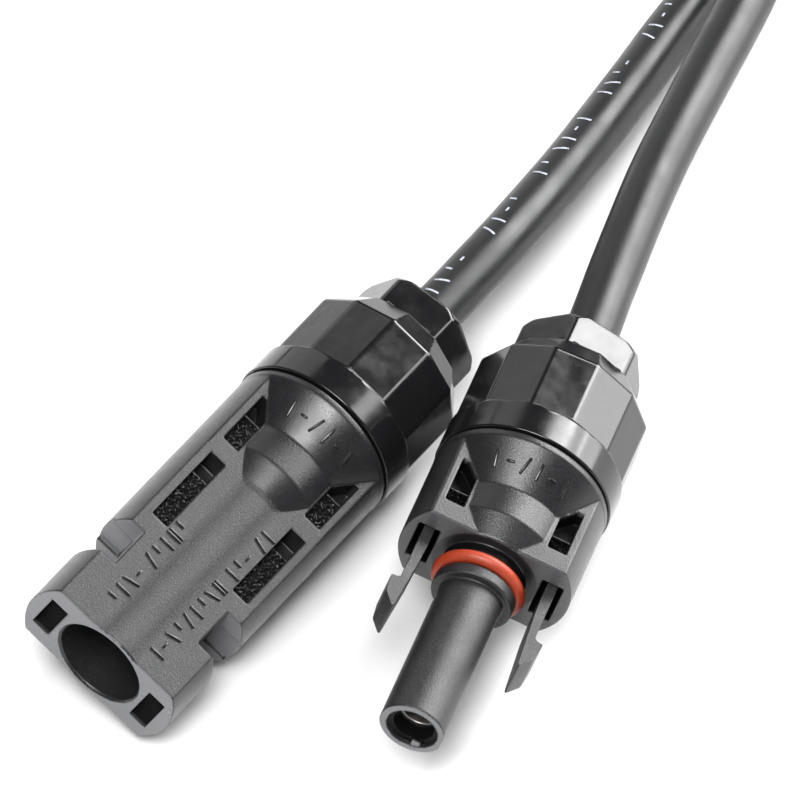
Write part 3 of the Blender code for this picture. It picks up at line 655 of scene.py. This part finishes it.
def nut_field(nut, corner):
    """Field of an end nut whose corners start at an angle from +Y towards +X; g counts from its front."""
    neck = 14.4

    def field(x, y, z):
        g = -z - nut
        rho = np.hypot(x, y)
        angle = np.degrees(np.arctan2(x, y)) - corner
        near = np.radians(np.abs((angle + 15.0) % 30.0 - 15.0))
        rise = np.clip((g - 3.42) / 0.28, 0.0, 1.0)
        apothem = 9.62 - 0.56 * rise
        slant = math.radians(15.0)
        twelve = both(rho * np.cos(slant - near) - apothem, rho * np.cos(slant + near) - apothem, 0.14)
        lean = math.radians(34.0)
        sloped = (twelve + 0.03) * math.cos(lean) + (g - 11.5) * math.sin(lean)
        grip = both(both(twelve, rho - 9.45, 0.1), sloped, 0.12)
        grip = both(grip, between(g, 0.0, neck), 0.15)
        near = np.radians(np.abs((angle + 30.0) % 60.0 - 30.0))
        slant = math.radians(30.0)
        six = both(rho * np.cos(slant - near) - 6.1, rho * np.cos(slant + near) - 6.1, 0.3)
        crown = lathe(rho, g, [(7.05, 12.0), (7.05, 17.6), (6.4, 18.6), (6.3, 20.0)], 0.1)
        hexagon = both(both(six, crown, 0.12), between(g, 12.0, NUT_LENGTH), 0.2)
        solid = either(grip, hexagon, 0.1)
        groove = both(between(g, 14.25, 14.75), 5.9 - rho, 0.08)
        solid = without(solid, both(groove, rho - 6.7, 0.05), 0.06)
        inside = [(7.4, -3.0), (7.4, 8.9), (5.6, 9.2), (3.45, neck), (3.15, 14.6), (3.15, 30.0)]
        hollow = lathe(rho, g, inside, 0.1)
        threads = both(thread(rho, x, y, g + nut, 7.75), g - 8.6, 0.1)
        hollow = np.minimum(hollow, threads)
        return without(solid, hollow, 0.12)

    return field


def make_moulded(name, field, place, cad, material, span, reach, step, grain_and_painted_shading=None):
    """Moulded body, meshed over a span of s and out to a reach from the axis.

    In cad are the CAD node that it replaces and the body that it rides on.
    """
    start, end = span
    node, body = cad
    low, high = (-reach, -reach, -end - 0.5), (reach, reach, -start + 0.5)
    obj = solid_from_field(name, field, low, high, step, place, material, grain_and_painted_shading)
    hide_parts(node)
    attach(obj, body)


def build_moulded(step, housing, nut):
    """The two housings and the two end nuts."""
    make_moulded(
        "pin_housing_shell", pin_housing_field, PIN, ("pin_housing", "lead"), housing,
        (0.0, PIN_NUT + BOSS_LENGTH), 9.7, step, pin_grain_and_painted_shading,
    )
    make_moulded(
        "socket_housing_shell", socket_housing_field, SOCKET, ("socket_housing", "lead"), housing,
        (0.0, SOCKET_NUT + BOSS_LENGTH), 9.7, step, socket_grain_and_painted_shading,
    )
    make_moulded(
        "pin_nut_shell", nut_field(PIN_NUT, 15.0), PIN, ("pin_end_nut", "pin_nut"), nut,
        (PIN_NUT, PIN_NUT + NUT_LENGTH), 9.8, step,
    )
    make_moulded(
        "socket_nut_shell", nut_field(SOCKET_NUT, -19.0), SOCKET, ("socket_end_nut", "socket_nut"), nut,
        (SOCKET_NUT, SOCKET_NUT + NUT_LENGTH), 9.8, step,
    )


# ---------------------------------------------------------------- shapes from bmesh

def object_from(bm, name, matrix, material, smooth_angle=None):
    """Mesh object from a bmesh in a connector's frame and millimetres."""
    bmesh.ops.recalc_face_normals(bm, faces=bm.faces)
    bm.transform(Matrix.Scale(MM, 4) @ matrix)
    mesh = bpy.data.meshes.new(name)
    bm.to_mesh(mesh)
    bm.free()
    mesh.materials.append(material)
    obj = bpy.data.objects.new(name, mesh)
    bpy.context.scene.collection.objects.link(obj)
    if smooth_angle is not None:
        mesh.shade_smooth()
        mesh.set_sharp_from_angle(angle=math.radians(smooth_angle))
    return obj


def filleted(points, radius, steps=4):
    """Closed outline with each corner replaced by an arc."""
    result = []
    count = len(points)
    for index in range(count):
        before, here, after = (Vector(points[(index + d) % count]) for d in (-1, 0, 1))
        back, ahead = (before - here), (after - here)
        reach = min(radius, 0.45 * back.length, 0.45 * ahead.length)
        start, end = here + back.normalized() * reach, here + ahead.normalized() * reach
        for step in range(steps + 1):
            t = step / steps
            result.append((1 - t) ** 2 * start + 2 * t * (1 - t) * here + t ** 2 * end)
    return result


def revolve(name, outline, matrix, material, steps=96, radius=0.1):
    """Closed outline of (radius, s) points turned about the axis."""
    bm = bmesh.new()
    ring = filleted(outline, radius)
    loops = []
    for step in range(steps):
        angle = 2.0 * math.pi * step / steps
        loops.append([bm.verts.new((r * math.cos(angle), r * math.sin(angle), -s)) for r, s in ring])
    for first, second in zip(loops, loops[1:] + loops[:1]):
        for i in range(len(ring)):
            j = (i + 1) % len(ring)
            bm.faces.new((first[i], first[j], second[j], second[i]))
    return object_from(bm, name, matrix, material, 50.0)


def arm_outline(side):
    """Latch arm in (x, s): round root, blade, rounded notch, catch, short barb and pointed tip."""
    inner, outer, centre = 6.3, 7.4, 6.85
    points = []
    for step in range(9):
        angle = math.pi * step / 8.0
        points.append((centre + 0.55 * math.cos(angle), 25.4 + 0.55 * math.sin(angle)))
    points += [(inner, 19.5), (6.42, 17.0), (6.9, 11.25), (6.97, 11.05), (7.08, 11.0), (7.2, 11.08)]
    points += [(8.12, 12.25), (8.22, 12.5), (8.4, 14.2), (8.38, 14.42), (8.24, 14.5), (7.9, 14.52)]
    for step in range(6):
        angle = math.pi / 2.0 * step / 5.0
        points.append((7.9 - 0.48 * math.sin(angle), 15.02 - 0.48 * math.cos(angle)))
    points += [(outer, 15.6)]
    return [(side * x, s) for x, s in points]


def make_arm(name, side, material, node, body):
    """Latch arm on one side of the socket connector."""
    bm = bmesh.new()
    verts = [bm.verts.new((x, -2.7, -s)) for x, s in arm_outline(side)]
    face = bm.faces.new(verts)
    grown = bmesh.ops.extrude_face_region(bm, geom=[face])
    moved = [item for item in grown["geom"] if isinstance(item, bmesh.types.BMVert)]
    bmesh.ops.translate(bm, vec=(0.0, 5.4, 0.0), verts=moved)
    bmesh.ops.recalc_face_normals(bm, faces=bm.faces)
    rims = [edge for edge in bm.edges if abs(edge.verts[0].co.y - edge.verts[1].co.y) < 0.01]
    bmesh.ops.bevel(bm, geom=rims, offset=0.13, segments=3, affect="EDGES", profile=0.5, clamp_overlap=True)
    obj = object_from(bm, name, SOCKET, material, 32.0)
    obj.modifiers.new("even_faces", "WEIGHTED_NORMAL").keep_sharp = True
    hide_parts(node)
    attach(obj, body)


# Strokes of each plain mark, as (across, along) ends from its middle.
STROKES = {
    "bar": [((-1.0, 0.0), (1.0, 0.0))],
    "lean": [((-1.0, -0.5), (1.0, 0.5))],
    "back": [((-1.0, 0.5), (1.0, -0.5))],
    "half": [((-1.0, 0.0), (0.0, 0.0))],
    "dash": [((0.0, -0.6), (0.0, 0.6))],
    "twin": [((-1.0, -0.45), (1.0, -0.45)), ((-1.0, 0.45), (1.0, 0.45))],
    "gap": [],
}


def raised_stroke(bm, start, end, width, height):
    """Rounded bar lying on the plane y = 0, from one (x, s) point to another."""
    start, end = Vector(start), Vector(end)
    run = end - start
    verts = bmesh.ops.create_cube(bm, size=1.0)["verts"]
    bmesh.ops.scale(bm, vec=(width, 2.0 * height, run.length + width), verts=verts)
    edges = list({edge for vert in verts for edge in vert.link_edges})
    bevelled = bmesh.ops.bevel(
        bm, geom=edges, offset=min(width, height) * 0.45, segments=2, affect="EDGES", profile=0.5,
    )
    rounded = {vert for face in bevelled["faces"] for vert in face.verts}
    verts = list(rounded | {vert for vert in verts if vert.is_valid})
    turn = Matrix.Rotation(math.atan2(-run.x, run.y) + math.pi, 4, "Y")
    middle = (start + end) / 2.0
    bmesh.ops.transform(bm, matrix=Matrix.Translation((middle.x, 0.0, -middle.y)) @ turn, verts=verts)


def mark_strokes(bm, kind, across, along, half_height, half_width, width, height):
    """One plain mark, its middle at (across, along)."""
    for first, second in STROKES[kind]:
        ends = [(across + half_height * p[0], along + half_width * p[1]) for p in (first, second)]
        raised_stroke(bm, ends[0], ends[1], width, height)


def make_housing_marks(material):
    """Plain raised strokes moulded on the two bands of the pin housing, on both faces."""
    rows = [
        (-3.35, 3.9, 0.85, "half bar lean dash gap back half bar twin half"),
        (3.55, 2.6, 0.8, "bar dash lean half back bar half lean twin gap bar half dash gap back bar"),
    ]
    bm = bmesh.new()
    for face in (1.0, -1.0):
        begin = len(bm.verts)
        for across, start, height, kinds in rows:
            along = start
            for kind in kinds.split():
                mark_strokes(bm, kind, across * face, along, height, 0.45, 0.24, 0.2)
                along += 0.75 if kind == "gap" else 1.32
        for vert in list(bm.verts)[begin:]:
            vert.co.y = face * (vert.co.y + PIN_BAND)
    obj = object_from(bm, "pin_housing_marks", PIN, material, 40.0)
    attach(obj, "lead")


def make_cone_marks(name, matrix, middle, radius, rise, material):
    """Short row of plain strokes round the sloped rear of a housing, on both faces."""
    bm = bmesh.new()
    tilt = math.atan(rise)
    for face in (1.0, -1.0):
        begin = len(bm.verts)
        for index, kind in enumerate(("bar", "dash", "lean", "bar", "dash", "back")):
            mark_strokes(bm, kind, 0.0, (index - 2.5) * 1.55, 0.85, 0.5, 0.28, 0.34)
        for vert in list(bm.verts)[begin:]:
            along, y, across = -vert.co.z, vert.co.y, vert.co.x
            out = radius + across * rise * math.cos(tilt) + y * math.cos(tilt)
            place = middle + across * math.cos(tilt) - y * math.sin(tilt)
            angle = along / radius
            vert.co = (out * math.sin(angle), face * out * math.cos(angle), -place)
    obj = object_from(bm, name, matrix, material, 40.0)
    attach(obj, "lead")


# ---------------------------------------------------------------- cable

def smooth_route(points, spacing):
    """Points about spacing apart on a smooth curve through the given points."""
    points = [Vector(point) for point in points]
    ends = [2 * points[0] - points[1]] + points + [2 * points[-1] - points[-2]]
    fine = []
    for index in range(1, len(ends) - 2):
        before, here, after, beyond = ends[index - 1:index + 3]
        for step in range(40):
            t = step / 40.0
            fine.append(0.5 * (
                2 * here + (after - before) * t + (2 * before - 5 * here + 4 * after - beyond) * t ** 2
                + (3 * here - before - 3 * after + beyond) * t ** 3
            ))
    fine.append(points[-1])
    return evenly(fine, spacing)


def evenly(fine, spacing):
    """The same line with its points evenly spaced."""
    travelled = [0.0]
    for first, second in zip(fine, fine[1:]):
        travelled.append(travelled[-1] + (second - first).length)
    count = max(2, round(travelled[-1] / spacing))
    targets = np.linspace(0.0, travelled[-1], count + 1)
    table = np.array([tuple(p) for p in fine])
    return [Vector([np.interp(t, travelled, table[:, axis]) for axis in range(3)]) for t in targets]


def coil_route():
    """The cable's turns: in along the bottom layer, up at the middle and out along the top layer."""
    start = math.radians(-27.9)
    sweep = math.radians(3 * 360.0 + 249.4)
    first_layer = math.radians(720.0)
    rise = math.radians(60.0)
    outer = COIL_MIDDLE + STRAND_PITCH
    inner = COIL_MIDDLE - STRAND_PITCH
    points = []
    steps = int(math.degrees(sweep) / 4.0)
    for step in range(steps + 1):
        angle = sweep * step / steps
        if angle <= first_layer:
            radius = outer - STRAND_PITCH * angle / (2.0 * math.pi)
            height = COIL_LOW
        else:
            radius = inner + STRAND_PITCH * (angle - first_layer) / (2.0 * math.pi)
            share = min(1.0, (angle - first_layer) / rise)
            height = COIL_LOW + (COIL_HIGH - COIL_LOW) * share * share * (3.0 - 2.0 * share)
        turn = start + angle
        points.append(Vector((
            COIL_CENTRE[0] + radius * math.cos(turn), COIL_CENTRE[1] + radius * math.sin(turn), height,
        )))
    return points


def cable_path():
    """Centre line of the whole free cable, from inside one nut's mouth to inside the other's."""
    pin_end = PIN @ Vector((0.0, 0.0, -(PIN_NUT + CABLE_START)))
    socket_end = SOCKET @ Vector((0.0, 0.0, -(SOCKET_NUT + CABLE_START)))
    there = [pin_end] + smooth_route(PIN_RUN, 2.0)
    back = smooth_route(SOCKET_RUN, 2.0)[::-1] + [socket_end]
    return evenly(there + coil_route() + back, 1.6)


def tube_frames(path):
    """Across and up directions carried along a path without twist."""
    frames = []
    side = Vector((1.0, 0.0, 0.0))
    for index in range(len(path)):
        ahead = path[min(index + 1, len(path) - 1)] - path[max(index - 1, 0)]
        ahead.normalize()
        side = (side - ahead * side.dot(ahead)).normalized()
        frames.append((side.copy(), side.cross(ahead)))
    return frames


def make_cable(material):
    """The cable as one tube, with two fine mould lines and a slightly uneven skin."""
    path = cable_path()
    frames = tube_frames(path)
    sides = 40
    bm = bmesh.new()
    rings = []
    for index, (centre, (side, up)) in enumerate(zip(path, frames)):
        ring = []
        for step in range(sides):
            angle = 2.0 * math.pi * step / sides
            seam = math.exp(-((math.sin((angle - 0.9) / 2.0) / 0.06) ** 2))
            seam += math.exp(-((math.sin((angle - 3.9) / 2.0) / 0.06) ** 2))
            wave = 0.012 * math.sin(index * 0.9 + 2.0 * math.sin(index * 0.13)) * math.cos(2 * angle)
            radius = CABLE_RADIUS - 0.02 + 0.03 * seam + wave
            ring.append(bm.verts.new(centre + (side * math.cos(angle) + up * math.sin(angle)) * radius))
        rings.append(ring)
    for first, second in zip(rings, rings[1:]):
        for i in range(sides):
            j = (i + 1) % sides
            bm.faces.new((first[i], second[i], second[j], first[j]))
    bm.faces.new(rings[0])
    bm.faces.new(rings[-1][::-1])
    cable = object_from(bm, "cable", Matrix.Identity(4), material, 50.0)
    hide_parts("cable_pin_run", "cable_socket_run", "cable_coil")
    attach(cable, "lead")
    return cable, path


def make_print(path, material):
    """Plain worn ticks in groups along the pin connector's side of the cable."""
    bm = bmesh.new()
    spacing = (path[1] - path[0]).length
    lift = 0.02

    def at(distance, angle):
        position = distance / spacing
        index = min(int(position), len(path) - 2)
        centre = path[index].lerp(path[index + 1], position - index)
        ahead = (path[index + 1] - path[index]).normalized()
        facing = (PRINT_SIDE - ahead * PRINT_SIDE.dot(ahead)).normalized()
        across = ahead.cross(facing)
        return centre + (facing * math.cos(angle) + across * math.sin(angle)) * (CABLE_RADIUS + lift)

    def tick(distance, first, second):
        """Thin band between two (angle, offset) ends."""
        steps = 6
        half = 0.12
        run = Vector(((second[0] - first[0]) * CABLE_RADIUS, second[1] - first[1])).normalized() * half
        rows = []
        for step in range(steps + 1):
            share = step / steps
            angle = first[0] + (second[0] - first[0]) * share
            offset = first[1] + (second[1] - first[1]) * share
            rows.append([
                bm.verts.new(at(distance + offset + side * run.x, angle - side * run.y / CABLE_RADIUS))
                for side in (-1.0, 1.0)
            ])
        for a, b in zip(rows, rows[1:]):
            bm.faces.new((a[0], b[0], b[1], a[1]))

    groups = ["bar lean half dash", "back bar dash half", "bar half gap lean bar dash bar"]
    distance = 3.6
    for group in groups * 3:
        for kind in group.split():
            for first, second in STROKES[kind]:
                tick(distance, (0.3 * first[0], 0.5 * first[1]), (0.3 * second[0], 0.5 * second[1]))
            distance += 0.9 if kind == "gap" else 1.75
        distance += 3.0
    obj = object_from(bm, "cable_print", Matrix.Identity(4), material)
    obj.data.shade_smooth()
    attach(obj, "lead")
    return obj


def make_tie(material):
    """Ratchet tie round the coil, with its head and a trimmed tail."""
    angle = math.radians(100.0)
    width, height = 9.4, 6.55
    inner_width, inner_height = 8.85, 6.0
    matrix = Matrix.Translation(Vector((
        COIL_CENTRE[0] + COIL_MIDDLE * math.cos(angle),
        COIL_CENTRE[1] + COIL_MIDDLE * math.sin(angle),
        height,
    ))) @ Matrix.Rotation(angle, 4, "Z") @ Matrix.Rotation(math.radians(90.0), 4, "X")
    bm = bmesh.new()
    outline = [(-width, -height), (width, -height), (width, height), (-width, height)]
    outer = filleted(outline, 3.0, steps=8)
    inner = filleted([(x * inner_width / width, y * inner_height / height) for x, y in outline], 2.5, steps=8)
    half = 2.2
    sections = []
    for a, b in zip(outer, inner):
        sections.append([
            bm.verts.new((a.x, a.y, -half)), bm.verts.new((a.x, a.y, half)),
            bm.verts.new((b.x, b.y, half)), bm.verts.new((b.x, b.y, -half)),
        ])
    for first, second in zip(sections, sections[1:] + sections[:1]):
        for i in range(4):
            j = (i + 1) % 4
            bm.faces.new((first[i], second[i], second[j], first[j]))
    bmesh.ops.recalc_face_normals(bm, faces=bm.faces)
    head = bmesh.ops.create_cube(bm, size=1.0)["verts"]
    bmesh.ops.scale(bm, vec=(5.6, 2.4, 6.0), verts=head)
    bmesh.ops.translate(bm, vec=(2.0, 7.35, 0.0), verts=head)
    tail = bmesh.ops.create_cube(bm, size=1.0)["verts"]
    bmesh.ops.scale(bm, vec=(1.1, 1.3, 4.2), verts=tail)
    bmesh.ops.translate(bm, vec=(4.0, 8.3, 0.0), verts=tail)
    edges = list({edge for vert in head + tail for edge in vert.link_edges})
    bmesh.ops.bevel(bm, geom=edges, offset=0.3, segments=2, affect="EDGES", profile=0.5)
    tie = object_from(bm, "cable_tie", matrix, material, 40.0)
    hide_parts("coil_tie")
    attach(tie, "lead")
    return tie


# ---------------------------------------------------------------- small parts

def make_o_ring(material):
    """Seal ring in its groove on the socket's nose, slightly flattened."""
    outline = []
    sides = 20
    for step in range(sides):
        angle = 2.0 * math.pi * step / sides
        outline.append((4.28 + 0.72 * math.cos(angle), 19.75 + 0.68 * math.sin(angle)))
    ring = revolve("seal_ring", outline, SOCKET, material, steps=120, radius=0.02)
    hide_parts("o_ring")
    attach(ring, "lead")


def make_contacts(material):
    """Pin and sleeve as turned and plated pieces."""
    pin = revolve("pin_contact_turned", [
        (0.02, 8.0), (1.15, 8.0), (1.7, 8.5), (2.0, 9.6), (2.0, 18.8), (2.45, 19.1), (2.45, 21.8),
        (3.25, 21.8), (3.25, 22.8), (2.3, 22.8), (2.3, 29.0), (1.55, 29.0), (1.55, 23.4), (0.02, 23.4),
    ], PIN, material, radius=0.15)
    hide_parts("pin_contact")
    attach(pin, "lead")
    sleeve = revolve("socket_contact_turned", [
        (1.9, 2.45), (2.75, 2.45), (2.75, 23.1), (3.3, 23.1), (3.3, 24.1), (2.3, 24.1), (2.3, 29.6),
        (1.55, 29.6), (1.55, 24.6), (0.02, 24.6), (0.02, 16.0), (2.1, 16.0), (2.1, 12.0), (2.5, 12.0),
        (2.5, 5.0), (2.1, 5.0),
    ], SOCKET, material, radius=0.12)
    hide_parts("socket_contact")
    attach(sleeve, "lead")


def dress_nodes(materials):
    """Materials of the CAD nodes that stay."""
    for node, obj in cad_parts.items():
        for key, material in materials.items():
            if key in node:
                obj.data.materials.clear()
                obj.data.materials.append(material)
                break


def make_floor():
    """Pale floor just under the object."""
    bpy.ops.mesh.primitive_plane_add(size=6.0, location=(0.0, 0.0, -0.0002))
    floor = bpy.context.object
    floor.name = "floor"
    material = new_material("pale_floor", (0.76, 0.76, 0.76), 0.9)
    floor.data.materials.append(material)


def main():
    """Camera, light and floor, then the cord, then the pieces and the CAD nodes that stay."""
    make_camera()
    make_light()
    make_floor()
    sheath = cable_skin("cable_sheath", (0.008, 0.0082, 0.009), 0.4)
    cable, path = make_cable(sheath)
    tie = make_tie(glossy_plastic("tie_plastic", (0.012, 0.012, 0.013), 0.35))
    printed = make_print(path, ink("worn_ink", (0.5, 0.52, 0.6)))
    housing = grained_plastic("housing_plastic", (0.012, 0.0122, 0.013), 0.2, 0.44, depth=0.05)
    nut = glossy_plastic("nut_plastic", (0.006, 0.0061, 0.0066), 0.14)
    arm = grained_plastic("arm_plastic", (0.014, 0.0142, 0.015), 0.4, 0.42, depth=0.03, everywhere=True)
    build_moulded(FINE_STEP, housing, nut)
    make_arm("latch_arm_left_blade", -1, arm, "latch_arm_left", "arm_left")
    make_arm("latch_arm_right_blade", 1, arm, "latch_arm_right", "arm_right")
    make_housing_marks(housing)
    make_cone_marks("pin_cone_marks", PIN, middle=32.95, radius=8.01, rise=0.544, material=housing)
    make_cone_marks("socket_cone_marks", SOCKET, middle=29.8, radius=8.1, rise=0.545, material=housing)
    make_o_ring(rubber("seal_silicone", (0.36, 0.04, 0.012), 0.45))
    make_contacts(metal("tinned_metal", (0.9, 0.89, 0.86), 0.4))
    dress_nodes({
        "clip": metal("spring_steel", (0.62, 0.62, 0.6), 0.3),
        "contact_spring": metal("louvre_metal", (0.83, 0.66, 0.4), 0.3),
        "conductor": metal("strand_metal", (0.74, 0.7, 0.64), 0.35),
        "insulation": rubber("core_insulation", (0.72, 0.71, 0.67), 0.5),
        "sheath_end": sheath,
        "clamp_cage": grained_plastic(
            "clamp_plastic", (0.1, 0.1, 0.1), 0.4, 0.5, depth=0.01, everywhere=True,
        ),
        "_seal": rubber("gland_rubber", (0.02, 0.02, 0.02), 0.65),
    })


main()
